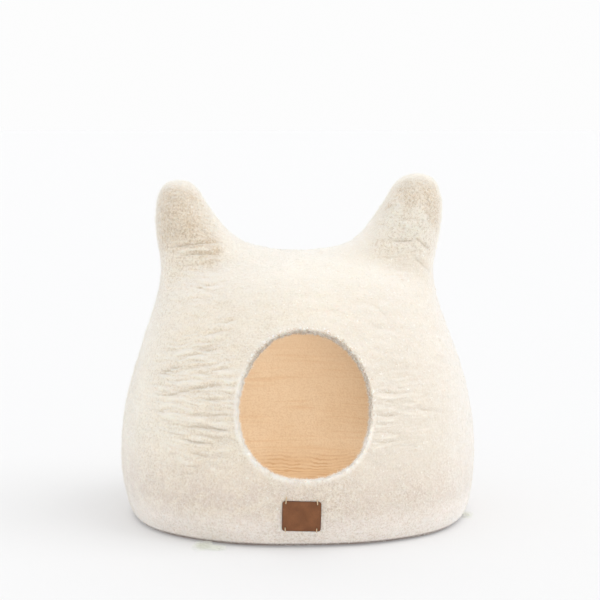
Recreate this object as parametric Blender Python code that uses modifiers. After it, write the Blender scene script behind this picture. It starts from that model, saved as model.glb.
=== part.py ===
"""Felt cat cave: a one-piece wool felt shell with two hollow ears and an egg-shaped mouth, and a patch.

Metres, +Z up. The origin is on the floor under the middle of the shell, and the mouth faces -Y.
"""

import math

import bmesh
import bpy
from mathutils import Vector, noise
from mathutils.bvhtree import BVHTree

MM = 0.001

# ---- driving dimensions, in millimetres ----
FELT_THICKNESS = 9.0
SUBDIVISION_LEVELS = 2
COLUMNS = 16                # cage points around the wall; column 0 is at the front, then towards +X
CAP_STEPS = COLUMNS // 4    # the top and bottom of the cage are square grids of this many faces a side
CAP_MIDDLE = CAP_STEPS // 2

# Horizontal sections of the wall, from the floor to the shoulder. Below 0 the floor presses the felt flat.
SECTION_COLUMNS = ("z", "left", "right", "front", "back", "squareness")
SECTIONS = (
    (-7, 205, 206, 186, 189, 2.3),
    (12, 211, 216, 199, 202, 2.3),
    (44, 221, 222, 210, 212, 2.3),
    (88, 224, 225, 208, 211, 2.3),
    (165, 214, 216, 187, 191, 2.3),
    (246, 187, 187, 148, 154, 2.25),
    (304, 168, 167, 106, 113, 2.05),
)
MOUTH_ROWS = (3, 4, 5)      # the sections between which the mouth is cut

# The mouth, on the front wall: an egg, fuller below.
MOUTH_CENTRE_X = 10.0
MOUTH_CENTRE_Z = 166.0
MOUTH_HALF_WIDTH = 77.5
MOUTH_HALF_HEIGHT = 82.5
MOUTH_FULLNESS = 0.09       # how much wider the lower half is than an ellipse
MOUTH_POINTS = 8

# The crown between the ears: heights of the inner points of the top grid, front row, ridge and back row.
CROWN_HALF_WIDTH = 62.0
CROWN_HALF_DEPTH = 53.0     # from the ridge to the front and back rows
CROWN_COLUMNS = ("front", "ridge", "back")
CROWN_SIDE = (327, 341, 328)
CROWN_MIDDLE = (322, 336, 324)

# Each ear is a flattened hollow lobe, drawn up out of the shoulder and leaning outwards.
EAR_CORNER = 0.5            # how far out the four corners of its six-sided rings lie
EAR_COLUMNS = ("z", "centre_x", "centre_y", "half_width", "half_thickness")
LEFT_EAR = (
    (360, -137, 0, 45, 43),
    (394, -147, -2, 32, 31),
    (422, -149, -3, 19.5, 19),
)
RIGHT_EAR = (
    (362, 135, 0, 47, 43),
    (399, 146, -2, 38, 32),
    (432, 150, -3, 22.5, 20),
)

# Slow unevenness of hand-felted wool.
DENT_DEPTH = 2.0
DENT_WAVELENGTH = 95.0
DENT_SEED = Vector((3.1, 7.7, 1.9))

# The leather patch sewn on under the mouth.
PATCH_WIDTH = 45.0
PATCH_HEIGHT = 36.0
PATCH_THICKNESS = 1.8
PATCH_CORNER_RADIUS = 4.0
PATCH_CENTRE_X = 5.0
PATCH_CENTRE_Z = 41.0
PATCH_TILT = math.radians(-1.5)
PATCH_CELL = 4.0            # size of the patch's grid, which bends with the wall
SEAT_GAP = 0.45             # clear of the facets of the wall
IN_FRONT = 1000.0           # a place well in front of the wall, to look at it from

# A closed ring of cage points shrinks when it is subdivided; these undo it.
WALL_SPREAD = 3.0 / (2.0 + math.cos(2 * math.pi / COLUMNS))
MOUTH_SPREAD = 3.0 / (2.0 + math.cos(2 * math.pi / MOUTH_POINTS))
EAR_SPREAD = 1.2


def row(columns, values):
    """One row of a table as a dictionary, by the names of its columns."""
    return dict(zip(columns, values))


def clear_scene():
    for thing in list(bpy.data.objects):
        bpy.data.objects.remove(thing)


def make_material(name, colour, roughness):
    material = bpy.data.materials.new(name)
    material.use_nodes = True
    shader = material.node_tree.nodes["Principled BSDF"]
    shader.inputs["Base Color"].default_value = (*colour, 1.0)
    shader.inputs["Roughness"].default_value = roughness
    shader.inputs["Metallic"].default_value = 0.0
    return material


# ---- the wall ----

def section_at(z):
    """The wall's section at height z, between the rows of the table."""
    rows = [row(SECTION_COLUMNS, values) for values in SECTIONS]
    for below, above in zip(rows, rows[1:]):
        if z <= above["z"]:
            share = (z - below["z"]) / (above["z"] - below["z"])
            return {name: below[name] + share * (above[name] - below[name]) for name in SECTION_COLUMNS}
    return rows[-1]


def section_point(section, angle):
    """A point of a section at an angle from the front, turning towards +X, in millimetres."""
    power = 2.0 / section["squareness"]
    across, ahead = math.sin(angle), math.cos(angle)
    width = section["right"] if across > 0 else section["left"]
    depth = section["front"] if ahead > 0 else section["back"]
    x = math.copysign(abs(across) ** power, across) * width * WALL_SPREAD
    y = -math.copysign(abs(ahead) ** power, ahead) * depth * WALL_SPREAD
    return Vector((x, y, section["z"]))


def front_point(x, z):
    """The point of the front wall at x and z, in millimetres."""
    section = section_at(z)
    width = section["right"] if x > 0 else section["left"]
    n = section["squareness"]
    depth = section["front"] * (1.0 - (abs(x) / width) ** n) ** (1.0 / n)
    return Vector((x, -depth, z))


def add_ring(cage, points):
    return [cage.verts.new(point * MM) for point in points]


def bridge(cage, lower, upper):
    """Faces between two rings of the same number of points."""
    count = len(lower)
    for k in range(count):
        after = (k + 1) % count
        cage.faces.new((lower[k], lower[after], upper[after], upper[k]))


def mouth_point(angle):
    """A cage point of the mouth's edge; angle 0 is at +X, and a quarter turn is the top."""
    across, up = math.cos(angle), math.sin(angle)
    fuller = 1.0 + MOUTH_FULLNESS * max(0.0, -up) * abs(across) * 2.0
    x = MOUTH_CENTRE_X + MOUTH_HALF_WIDTH * MOUTH_SPREAD * across * fuller
    z = MOUTH_CENTRE_Z + MOUTH_HALF_HEIGHT * MOUTH_SPREAD * up * fuller
    return front_point(x, z)


def open_mouth(cage, rings):
    """Takes out the block of faces at the front and moves its edge onto the mouth's outline."""
    low, middle, high = (rings[k] for k in MOUTH_ROWS)
    edge = (middle[1], high[1], high[0], high[-1], middle[-1], low[-1], low[0], low[1])
    for k, vertex in enumerate(edge):
        vertex.co = mouth_point(2 * math.pi * k / MOUTH_POINTS) * MM
    cage.verts.remove(middle[0])


def grid_cap(cage, ring, inner_point):
    """Closes a ring with a square grid, and returns its vertices by column and row.

    Columns run from -X to +X, and rows from front to back. inner_point(column, row) gives the place
    of an inner vertex, in millimetres.
    """
    n, corner = CAP_STEPS, COLUMNS // 8
    grid = {}
    for k in range(n + 1):
        grid[k, 0] = ring[(k - corner) % COLUMNS]
        grid[n, k] = ring[(k + corner) % COLUMNS]
        grid[n - k, n] = ring[(k + 3 * corner) % COLUMNS]
        grid[0, n - k] = ring[(k + 5 * corner) % COLUMNS]
    for i in range(1, n):
        for j in range(1, n):
            grid[i, j] = cage.verts.new(inner_point(i, j) * MM)
    for i in range(n):
        for j in range(n):
            cage.faces.new((grid[i, j], grid[i + 1, j], grid[i + 1, j + 1], grid[i, j + 1]))
    return grid


def floor_point(i, j):
    """An inner point of the flat bottom."""
    base = row(SECTION_COLUMNS, SECTIONS[0])
    across = (i - CAP_MIDDLE) / CAP_MIDDLE
    along = (j - CAP_MIDDLE) / CAP_MIDDLE
    return Vector((base["left"] * across, base["front"] * along, base["z"]))


def crown_point(i, j):
    """An inner point of the crown between the ears."""
    heights = row(CROWN_COLUMNS, CROWN_MIDDLE if i == CAP_MIDDLE else CROWN_SIDE)
    x = (i - CAP_MIDDLE) * CROWN_HALF_WIDTH
    y = (j - CAP_MIDDLE) * CROWN_HALF_DEPTH
    return Vector((x, y, heights[CROWN_COLUMNS[j - 1]]))


def ear_ring_points(ear, side):
    """Six points around an ear, from the front's outer corner inwards and back round to the outer middle."""
    out, inn = EAR_CORNER, -EAR_CORNER
    for outwards, backwards in ((out, -1), (inn, -1), (-1, 0), (inn, 1), (out, 1), (1, 0)):
        x = ear["centre_x"] + side * outwards * ear["half_width"] * EAR_SPREAD
        y = ear["centre_y"] + backwards * ear["half_thickness"] * EAR_SPREAD
        yield Vector((x, y, ear["z"]))


def grow_ear(cage, grid, side, rows):
    """Draws an ear up out of two faces at one end of the crown; side is -1 at the left, 1 at the right."""
    outer = 0 if side < 0 else CAP_STEPS
    inner = outer - side
    front, middle, back = CAP_MIDDLE - 1, CAP_MIDDLE, CAP_MIDDLE + 1
    below = [
        grid[outer, front], grid[inner, front], grid[inner, middle],
        grid[inner, back], grid[outer, back], grid[outer, middle],
    ]
    for face in list(grid[inner, middle].link_faces):
        if set(face.verts) <= set(below):
            cage.faces.remove(face)
    for values in rows:
        ring = add_ring(cage, ear_ring_points(row(EAR_COLUMNS, values), side))
        bridge(cage, below, ring)
        below = ring
    front_out, front_in, middle_in, back_in, back_out, middle_out = below
    cage.faces.new((front_out, front_in, middle_in, middle_out))
    cage.faces.new((middle_out, middle_in, back_in, back_out))


def shell_cage():
    """The coarse cage of the shell's outer surface, open at the mouth."""
    cage = bmesh.new()
    angles = [2 * math.pi * k / COLUMNS for k in range(COLUMNS)]
    rings = []
    for values in SECTIONS:
        section = row(SECTION_COLUMNS, values)
        rings.append(add_ring(cage, [section_point(section, angle) for angle in angles]))
    for lower, upper in zip(rings, rings[1:]):
        bridge(cage, lower, upper)
    open_mouth(cage, rings)
    grid_cap(cage, rings[0], floor_point)
    crown = grid_cap(cage, rings[-1], crown_point)
    grow_ear(cage, crown, -1, LEFT_EAR)
    grow_ear(cage, crown, 1, RIGHT_EAR)
    bmesh.ops.recalc_face_normals(cage, faces=cage.faces)
    mesh = bpy.data.meshes.new("shell_cage")
    cage.to_mesh(mesh)
    cage.free()
    return mesh


def press_and_dent(mesh):
    """Gives the outer surface its slow dents, and presses it flat where it meets the floor."""
    moved = []
    for vertex in mesh.vertices:
        swell = noise.noise(vertex.co / (DENT_WAVELENGTH * MM) + DENT_SEED)
        moved.append(vertex.co + vertex.normal * swell * DENT_DEPTH * MM)
    for vertex, place in zip(mesh.vertices, moved):
        vertex.co = (place.x, place.y, max(place.z, 0.0))


def make_shell(collection, material):
    smooth = bpy.data.objects.new("shell", shell_cage())
    collection.objects.link(smooth)
    rounding = smooth.modifiers.new("round", "SUBSURF")
    rounding.levels = rounding.render_levels = SUBDIVISION_LEVELS
    bpy.context.view_layer.update()
    evaluated = smooth.evaluated_get(bpy.context.evaluated_depsgraph_get())
    outer = bpy.data.meshes.new_from_object(evaluated)
    press_and_dent(outer)
    smooth.modifiers.remove(rounding)
    smooth.data = outer
    outer.materials.append(material)
    felt = smooth.modifiers.new("felt", "SOLIDIFY")
    felt.thickness = FELT_THICKNESS * MM
    felt.offset = -1.0
    felt.use_even_offset = True
    outer.shade_smooth()
    return smooth


# ---- the patch ----

def patch_outline_inset(x, z):
    """Moves a point of the patch's square grid in, so that the corners are round."""
    limit_x = PATCH_WIDTH / 2 - PATCH_CORNER_RADIUS
    limit_z = PATCH_HEIGHT / 2 - PATCH_CORNER_RADIUS
    past_x, past_z = abs(x) - limit_x, abs(z) - limit_z
    if past_x <= 0 or past_z <= 0:
        return x, z
    reach = max(past_x, past_z)
    length = math.hypot(past_x, past_z)
    return (
        math.copysign(limit_x + past_x * reach / length, x),
        math.copysign(limit_z + past_z * reach / length, z),
    )


def make_patch(collection, material, shell):
    """A thin leather rectangle that bends with the wall under the mouth."""
    bpy.context.view_layer.update()
    wall = BVHTree.FromObject(shell, bpy.context.evaluated_depsgraph_get())
    flat = bmesh.new()
    bmesh.ops.create_grid(
        flat,
        x_segments=round(PATCH_WIDTH / PATCH_CELL),
        y_segments=round(PATCH_HEIGHT / PATCH_CELL),
        size=0.5,
    )
    for vertex in flat.verts:
        x, z = patch_outline_inset(vertex.co.x * PATCH_WIDTH, vertex.co.y * PATCH_HEIGHT)
        turned_x = x * math.cos(PATCH_TILT) - z * math.sin(PATCH_TILT)
        turned_z = x * math.sin(PATCH_TILT) + z * math.cos(PATCH_TILT)
        start = Vector((PATCH_CENTRE_X + turned_x, -IN_FRONT, PATCH_CENTRE_Z + turned_z)) * MM
        place, normal, _, _ = wall.ray_cast(start, Vector((0, 1, 0)))
        vertex.co = place + normal * SEAT_GAP * MM
    mesh = bpy.data.meshes.new("patch")
    flat.to_mesh(mesh)
    flat.free()
    mesh.materials.append(material)
    patch = bpy.data.objects.new("patch", mesh)
    collection.objects.link(patch)
    leather = patch.modifiers.new("leather", "SOLIDIFY")
    leather.thickness = PATCH_THICKNESS * MM
    leather.offset = 1.0
    mesh.shade_smooth()
    return patch


def main():
    clear_scene()
    collection = bpy.data.collections.new("felt_cat_cave")
    bpy.context.scene.collection.children.link(collection)
    felt = make_material("felt", (0.86, 0.80, 0.69), 0.95)
    leather = make_material("leather", (0.22, 0.09, 0.035), 0.6)
    shell = make_shell(collection, felt)
    make_patch(collection, leather, shell)


main()
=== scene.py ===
"""The felt cat cave as it looks: creased, fuzzy wool felt and a sewn leather patch, on a white floor."""

import math

import bmesh
import bpy
import numpy as np
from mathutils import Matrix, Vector, noise
from mathutils.bvhtree import BVHTree
from mathutils.kdtree import KDTree


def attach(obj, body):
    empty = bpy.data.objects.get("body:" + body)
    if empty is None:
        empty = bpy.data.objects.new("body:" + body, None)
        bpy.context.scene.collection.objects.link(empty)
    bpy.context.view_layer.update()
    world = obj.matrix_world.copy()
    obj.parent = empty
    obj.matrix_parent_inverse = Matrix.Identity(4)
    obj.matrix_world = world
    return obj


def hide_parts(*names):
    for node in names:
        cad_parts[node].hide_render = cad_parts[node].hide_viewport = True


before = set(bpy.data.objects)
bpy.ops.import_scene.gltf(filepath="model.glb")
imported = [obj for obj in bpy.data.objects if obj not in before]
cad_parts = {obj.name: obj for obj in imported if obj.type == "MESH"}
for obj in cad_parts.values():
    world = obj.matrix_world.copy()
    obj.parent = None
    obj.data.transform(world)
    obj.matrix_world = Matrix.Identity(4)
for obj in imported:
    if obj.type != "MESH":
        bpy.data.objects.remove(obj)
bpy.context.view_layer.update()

MM = 0.001


def table(columns, *rows):
    """A table's rows as dictionaries, by the names of its columns."""
    return [dict(zip(columns.split(), values)) for values in rows]


# ---- the felt's form: the same cage as the solid's, in millimetres, subdivided more finely ----
FELT_THICKNESS = 9.0
BODY_LEVELS = 3             # of the closed body, whose long edges are then split
GUIDE_LEVELS = 5            # of the finer surface that its outside is then laid onto
COLUMNS = 16                # cage points around the wall; column 0 is at the front, then towards +X
CAP_STEPS = COLUMNS // 4    # the top and bottom of the cage are square grids of this many faces a side
CAP_MIDDLE = CAP_STEPS // 2

SECTIONS = table(
    "z left right front back squareness",
    (-7, 205, 206, 186, 189, 2.3),
    (12, 211, 216, 199, 202, 2.3),
    (44, 221, 222, 210, 212, 2.3),
    (88, 224, 225, 208, 211, 2.3),
    (165, 214, 216, 187, 191, 2.3),
    (246, 187, 187, 148, 154, 2.25),
    (304, 168, 167, 106, 113, 2.05),
)
MOUTH_ROWS = (3, 4, 5)      # the sections between which the mouth is cut

MOUTH_CENTRE_X = 10.0
MOUTH_CENTRE_Z = 166.0
MOUTH_HALF_WIDTH = 77.5
MOUTH_HALF_HEIGHT = 82.5
MOUTH_FULLNESS = 0.09       # how much wider the lower half is than an ellipse
MOUTH_POINTS = 8

CROWN_HALF_WIDTH = 62.0
CROWN_HALF_DEPTH = 53.0     # from the ridge to the front and back rows
CROWN_SIDE = (327, 341, 328)        # heights of the front row, the ridge and the back row
CROWN_MIDDLE = (322, 336, 324)

EAR_CORNER = 0.5            # how far out the four corners of its six-sided rings lie
EAR_COLUMNS = "z centre_x centre_y half_width half_thickness"
LEFT_EAR = table(
    EAR_COLUMNS,
    (360, -137, 0, 45, 43),
    (394, -147, -2, 32, 31),
    (422, -149, -3, 19.5, 19),
)
RIGHT_EAR = table(
    EAR_COLUMNS,
    (362, 135, 0, 47, 43),
    (399, 146, -2, 38, 32),
    (432, 150, -3, 22.5, 20),
)

DENT_DEPTH = 2.0
DENT_WAVELENGTH = 95.0
DENT_SEED = Vector((3.1, 7.7, 1.9))
FLOOR_EASE = 3.0            # how softly the felt turns from the floor up into the wall

WALL_SPREAD = 3.0 / (2.0 + math.cos(2 * math.pi / COLUMNS))
MOUTH_SPREAD = 3.0 / (2.0 + math.cos(2 * math.pi / MOUTH_POINTS))
EAR_SPREAD = 1.2

# ---- the felt's surface ----
OUTER, INNER, CUT = 0, 1, 2     # material slots of the felt
# The felt's edges are split until they are about this long.
CELL_ELSEWHERE = 5.4
CELL_IN_FRONT = 2.8
CELL_WHERE_UNEVEN = 1.5
CELL_AT_RIM = 1.1
CELL_IN_A_CREASE = 0.9
CELL_SPLITS = 5
CELL_SLACK = 1.4                # how many times longer than that an edge may be
FRONT_Y = -75.0                 # the front wall lies ahead of this, and between these heights
FRONT_LOW, FRONT_HIGH = 60.0, 300.0
BODY_FUZZ_ROOM = 0.5            # how far the felt lies inside the solid, to leave room for its fuzz
EAR_FUZZ_ROOM = 2.0

LIP_ROUNDING = 1.5              # of the mouth's outer edge
INNER_ROUNDING = 1.2            # of its inner edge
RIM_RAGGED = 1.6
# How far the mouth's two edges are drawn inwards, at each sixteenth of a turn from +X over the top.
RIM = table(
    "inner outer",
    (0.6, 0.0),
    (-0.2, -0.6),
    (0.8, -0.6),
    (-0.8, -1.4),
    (-0.5, -1.2),
    (-2.4, -2.4),
    (-2.0, -2.2),
    (-2.6, -1.4),
    (-3.0, -1.4),
    (-3.6, -2.2),
    (-2.6, -0.6),
    (-1.1, 0.5),
    (0.4, 1.6),
    (-0.9, 0.7),
    (-2.2, -0.4),
    (-0.6, 0.3),
)
# The middle of the part of the rim whose cut face turns away from the light, in sixteenths of a turn.
SHADED_RIM_MIDDLE = 3.1
# The grey flecks there are painted shade, and the bright rest of the rim a painted highlight.
SHADED_RIM_REACH = 8.0          # how far out from the mouth's edge that part is flecked
LIP_REACH = 5.0                 # how far out from it the rest of the rim is bright

# Soft unevenness of the felted surface, on top of the slow dents.
LUMPS = table(
    "across up depth seed",
    (46, 26, 0.8, 11.0),
    (24, 10, 0.5, 29.0),
    (11, 8, 0.35, 47.0),
)
# Patches of wrinkles: pillowy swells with narrow hollows between them, or narrow ridges where a wave's share
# is negative. The lines along a patch's upper edge rise towards +X as steeply as its fan says, and those
# along its lower edge fall as steeply.
WRINKLES = table(
    "centre_x centre_z half_width half_height depth fan",
    (-122, 158, 68, 94, 1.6, 0.22),
    (118, 150, 50, 64, 0.6, -0.05),
    (-128, 303, 46, 54, 0.8, 0.1),
    (128, 335, 42, 40, 0.6, 0.0),
)
WRINKLE_WAVES = table(
    "length height share",
    (56, 6.8, 0.75),
    (44, 5.6, -0.75),
    (28, 4.0, -0.6),
)
WRINKLE_EVEN = 0.6              # lies between the hollows and the swells
WRINKLE_BEND = 3.0              # how far the lines waver
NUB_SIZE = 3.4                  # of the small curls that the ears are covered in
NUB_HEIGHT = 0.6

# Creases: shallow troughs with a low ridge along each side, each a curve through three points of the front.
CREASES = table(
    "x0 z0 x1 z1 x2 z2 width depth",
    (-136, 138, -103, 138, -70, 136, 2.5, 2.0),
    (-158, 169, -121, 180, -71, 190, 2.7, 1.6),
    (-172, 190, -154, 198, -122, 209, 2.8, 1.3),
    (-152, 206, -128, 216, -85, 231, 2.8, 1.3),
    (-104, 199, -91, 204, -69, 206, 2.4, 1.2),
    (-136, 125, -116, 120, -85, 127, 2.5, 1.3),
    (-135, 117, -114, 106, -79, 108, 2.6, 1.2),
    (-169, 148, -153, 155, -136, 154, 2.2, 1.3),
    (-126, 152, -100, 154, -71, 158, 2.4, 1.0),
    (-119, 167, -98, 171, -71, 171, 2.4, 0.9),
    (-116, 237, -99, 244, -75, 248, 2.6, 1.0),
    (-105, 254, -88, 256, -71, 260, 2.4, 1.2),
    (-177, 133, -160, 140, -141, 139, 2.4, 1.0),
    (-151, 97, -131, 92, -109, 92, 2.8, 0.8),
    (-161, 338, -132, 343, -96, 345, 2.6, 1.9),
    (-155, 325, -128, 331, -100, 331, 2.6, 1.5),
    (-135, 308, -113, 312, -92, 309, 2.6, 0.9),
    (-126, 292, -114, 295, -99, 298, 2.6, 1.2),
    (-148, 275, -128, 281, -105, 281, 2.8, 0.7),
    (88, 154, 104, 152, 120, 153, 2.4, 1.5),
    (122, 157, 143, 156, 181, 146, 2.4, 1.2),
    (88, 180, 112, 177, 145, 175, 2.4, 0.9),
    (85, 132, 101, 134, 123, 128, 2.4, 1.3),
    (85, 125, 106, 122, 134, 124, 2.4, 0.9),
    (107, 189, 117, 184, 127, 179, 2.2, 0.7),
    (79, 117, 83, 113, 89, 109, 2.2, 0.8),
    (90, 167, 104, 167, 119, 164, 2.2, 0.6),
    (87, 142, 101, 142, 121, 139, 2.2, 0.6),
    (79, 278, 97, 271, 113, 251, 3.0, 0.6),
    (81, 256, 99, 250, 118, 247, 3.0, 0.5),
    (119, 268, 125, 257, 125, 239, 2.8, 0.4),
    (94, 364, 104, 368, 113, 365, 2.4, 1.3),
    (111, 349, 129, 347, 148, 349, 2.4, 1.6),
    (144, 353, 155, 344, 166, 333, 2.4, 1.6),
    (142, 327, 153, 320, 167, 306, 2.6, 1.2),
    (108, 385, 116, 390, 127, 394, 2.4, 1.1),
    (125, 371, 143, 375, 162, 369, 2.4, 1.1),
)
CREASE_STEP = 1.0               # between the points along a crease
CREASE_WANDER = 1.6             # how far a crease strays from its curve
CREASE_REACH = 4.0              # in widths
# A crease's cross-section: bands at a distance from its line, both in widths, raised by a share of its depth.
CREASE_BANDS = table(
    "away breadth share",
    (0.0, 0.45, -0.65),
    (0.0, 1.5, -0.35),
    (2.3, 1.0, 0.32),
)
CREASED_AHEAD_OF = -15.0        # the creases lie on the front alone

# ---- fuzz: short fibres, in millimetres; curled ones lie in loops of that length across ----
FUZZ = table(
    "name slot count length lift half_width on_ears on_body curled seed",
    ("fuzz_matted", OUTER, 58000, 4.5, 0.35, 0.12, 1.0, 1.0, False, 5),
    ("fuzz_loose", OUTER, 60000, 6.0, 1.1, 0.06, 1.5, 1.0, False, 6),
    ("fuzz_ears", OUTER, 34000, 4.5, 1.3, 0.04, 1.0, 0.0, False, 8),
    ("fuzz_curls", OUTER, 26000, 2.2, 0.5, 0.13, 1.8, 1.0, True, 9),
    ("fuzz_rim", CUT, 20000, 3.0, 1.2, 0.10, 1.0, 1.0, False, 7),
)
FUZZ_FROM_FLOOR = 5.0
CURL_POINTS = 5
# Loose wool lying on the floor at the base.
TUFTS = table(
    "x y half_x half_y count",
    (-110, -192, 9, 14, 150),
    (-94, -200, 9, 8, 60),
    (212, -44, 5, 9, 40),
)
TUFT_LENGTH = 13.0
TUFT_HALF_WIDTH = 0.13

# ---- the patch, in millimetres ----
PATCH_WIDTH = 45.0
PATCH_HEIGHT = 36.0
PATCH_THICKNESS = 1.8
PATCH_CORNER_RADIUS = 4.0
PATCH_CENTRE_X = 5.0
PATCH_CENTRE_Z = 41.0
PATCH_TILT = math.radians(-1.5)
PATCH_CELL = 0.6
SEAT_GAP = 0.45
IN_FRONT = 1000.0
HOLE_RADIUS = 0.75
HOLE_DEPTH = 1.3
# Each stitch crosses the patch's top edge, way 1, or its bottom edge, way -1, at x from the patch's middle.
# It starts at a hole so far in from that edge, ends so far beyond it and leans so far to the side.
STITCHES = table(
    "x way hole_in beyond lean",
    (-18.4, 1, 3.2, 4.6, 0.6),
    (18.0, 1, 3.4, 1.6, -0.5),
    (-18.6, -1, 4.2, 1.5, 0.4),
    (17.8, -1, 3.8, 1.8, -0.3),
)
THREAD_RADIUS = 0.42
THREAD_POINTS = 15

# ---- the photograph's camera ----
LENS = 97.7
CAMERA_PLACE = (0.0032, -2.05, 0.50)
CAMERA_PITCH = 6.42             # degrees down

# ---- light: from all round, from the right, inside the cave, and from the floor, as on a light table ----
WORLD_LIGHT = 1.01
BACKDROP = 0.98
GLOW_PLACE = (0.0, -0.06, 0.285)
GLOW_AIM = (-0.068, 0.15, 0.065)
GLOW_WATTS = 3.0
GLOW_CONE = 108                 # degrees across
FLOOR_GLOW = 0.25


def ramp(value, low, high):
    """0 up to low, 1 from high on and straight in between; a number or an array."""
    return np.clip((value - low) / (high - low), 0.0, 1.0)


def new_object(name, mesh):
    thing = bpy.data.objects.new(name, mesh)
    bpy.context.scene.collection.objects.link(thing)
    return thing


def baked_mesh(thing):
    """The object's mesh with its modifiers applied; the object is removed."""
    bpy.context.view_layer.update()
    mesh = bpy.data.meshes.new_from_object(thing.evaluated_get(bpy.context.evaluated_depsgraph_get()))
    bpy.data.objects.remove(thing)
    return mesh


def finished_mesh(shape, name):
    """A new mesh of a shape; the shape is freed."""
    mesh = bpy.data.meshes.new(name)
    shape.to_mesh(mesh)
    shape.free()
    return mesh


def place_piece(name, mesh, slot, *replaced):
    """Adds a mesh as a piece of the object, and hides the parts that it replaces; the slot is not used."""
    piece = new_object(name, mesh)
    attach(piece, "root")
    if replaced:
        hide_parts(*replaced)
    return piece


# ---- the cage ----

def section_at(z):
    """The wall's section at height z, between the rows of the table."""
    for below, above in zip(SECTIONS, SECTIONS[1:]):
        if z <= above["z"]:
            share = (z - below["z"]) / (above["z"] - below["z"])
            return {name: below[name] + share * (above[name] - below[name]) for name in below}
    return SECTIONS[-1]


def section_point(section, angle):
    """A point of a section at an angle from the front, turning towards +X, in millimetres."""
    power = 2.0 / section["squareness"]
    across, ahead = math.sin(angle), math.cos(angle)
    width = section["right"] if across > 0 else section["left"]
    depth = section["front"] if ahead > 0 else section["back"]
    x = math.copysign(abs(across) ** power, across) * width * WALL_SPREAD
    y = -math.copysign(abs(ahead) ** power, ahead) * depth * WALL_SPREAD
    return Vector((x, y, section["z"]))


def front_point(x, z):
    """The point of the front wall at x and z, in millimetres."""
    section = section_at(z)
    width = section["right"] if x > 0 else section["left"]
    n = section["squareness"]
    depth = section["front"] * (1.0 - (abs(x) / width) ** n) ** (1.0 / n)
    return Vector((x, -depth, z))


def add_ring(cage, points):
    return [cage.verts.new(point * MM) for point in points]


def bridge(cage, lower, upper):
    """Faces between two rings of the same number of points."""
    count = len(lower)
    for k in range(count):
        after = (k + 1) % count
        cage.faces.new((lower[k], lower[after], upper[after], upper[k]))


def mouth_point(angle):
    """A cage point of the mouth's edge; angle 0 is at +X, and a quarter turn is the top."""
    across, up = math.cos(angle), math.sin(angle)
    fuller = 1.0 + MOUTH_FULLNESS * max(0.0, -up) * abs(across) * 2.0
    x = MOUTH_CENTRE_X + MOUTH_HALF_WIDTH * MOUTH_SPREAD * across * fuller
    z = MOUTH_CENTRE_Z + MOUTH_HALF_HEIGHT * MOUTH_SPREAD * up * fuller
    return front_point(x, z)


def open_mouth(cage, rings):
    """Takes out the block of faces at the front and moves its edge onto the mouth's outline."""
    low, middle, high = (rings[k] for k in MOUTH_ROWS)
    edge = (middle[1], high[1], high[0], high[-1], middle[-1], low[-1], low[0], low[1])
    for k, vertex in enumerate(edge):
        vertex.co = mouth_point(2 * math.pi * k / MOUTH_POINTS) * MM
    cage.verts.remove(middle[0])


def grid_cap(cage, ring, inner_point):
    """Closes a ring with a square grid, and returns its vertices by column and row."""
    n, corner = CAP_STEPS, COLUMNS // 8
    grid = {}
    for k in range(n + 1):
        grid[k, 0] = ring[(k - corner) % COLUMNS]
        grid[n, k] = ring[(k + corner) % COLUMNS]
        grid[n - k, n] = ring[(k + 3 * corner) % COLUMNS]
        grid[0, n - k] = ring[(k + 5 * corner) % COLUMNS]
    for i in range(1, n):
        for j in range(1, n):
            grid[i, j] = cage.verts.new(inner_point(i, j) * MM)
    for i in range(n):
        for j in range(n):
            cage.faces.new((grid[i, j], grid[i + 1, j], grid[i + 1, j + 1], grid[i, j + 1]))
    return grid


def floor_point(i, j):
    """An inner point of the flat bottom."""
    base = SECTIONS[0]
    across = (i - CAP_MIDDLE) / CAP_MIDDLE
    along = (j - CAP_MIDDLE) / CAP_MIDDLE
    return Vector((base["left"] * across, base["front"] * along, base["z"]))


def crown_point(i, j):
    """An inner point of the crown between the ears."""
    heights = CROWN_MIDDLE if i == CAP_MIDDLE else CROWN_SIDE
    x = (i - CAP_MIDDLE) * CROWN_HALF_WIDTH
    y = (j - CAP_MIDDLE) * CROWN_HALF_DEPTH
    return Vector((x, y, heights[j - 1]))


def ear_ring_points(ear, side):
    """Six points around an ear, from the front's outer corner inwards and back round to the outer middle."""
    out, inn = EAR_CORNER, -EAR_CORNER
    for outwards, backwards in ((out, -1), (inn, -1), (-1, 0), (inn, 1), (out, 1), (1, 0)):
        x = ear["centre_x"] + side * outwards * ear["half_width"] * EAR_SPREAD
        y = ear["centre_y"] + backwards * ear["half_thickness"] * EAR_SPREAD
        yield Vector((x, y, ear["z"]))


def grow_ear(cage, grid, side, ears):
    """Draws an ear up out of two faces at one end of the crown; side is -1 at the left, 1 at the right."""
    outer = 0 if side < 0 else CAP_STEPS
    inner = outer - side
    front, middle, back = CAP_MIDDLE - 1, CAP_MIDDLE, CAP_MIDDLE + 1
    below = [
        grid[outer, front], grid[inner, front], grid[inner, middle],
        grid[inner, back], grid[outer, back], grid[outer, middle],
    ]
    for face in list(grid[inner, middle].link_faces):
        if set(face.verts) <= set(below):
            cage.faces.remove(face)
    for ear in ears:
        ring = add_ring(cage, ear_ring_points(ear, side))
        bridge(cage, below, ring)
        below = ring
    front_out, front_in, middle_in, back_in, back_out, middle_out = below
    cage.faces.new((front_out, front_in, middle_in, middle_out))
    cage.faces.new((middle_out, middle_in, back_in, back_out))


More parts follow.
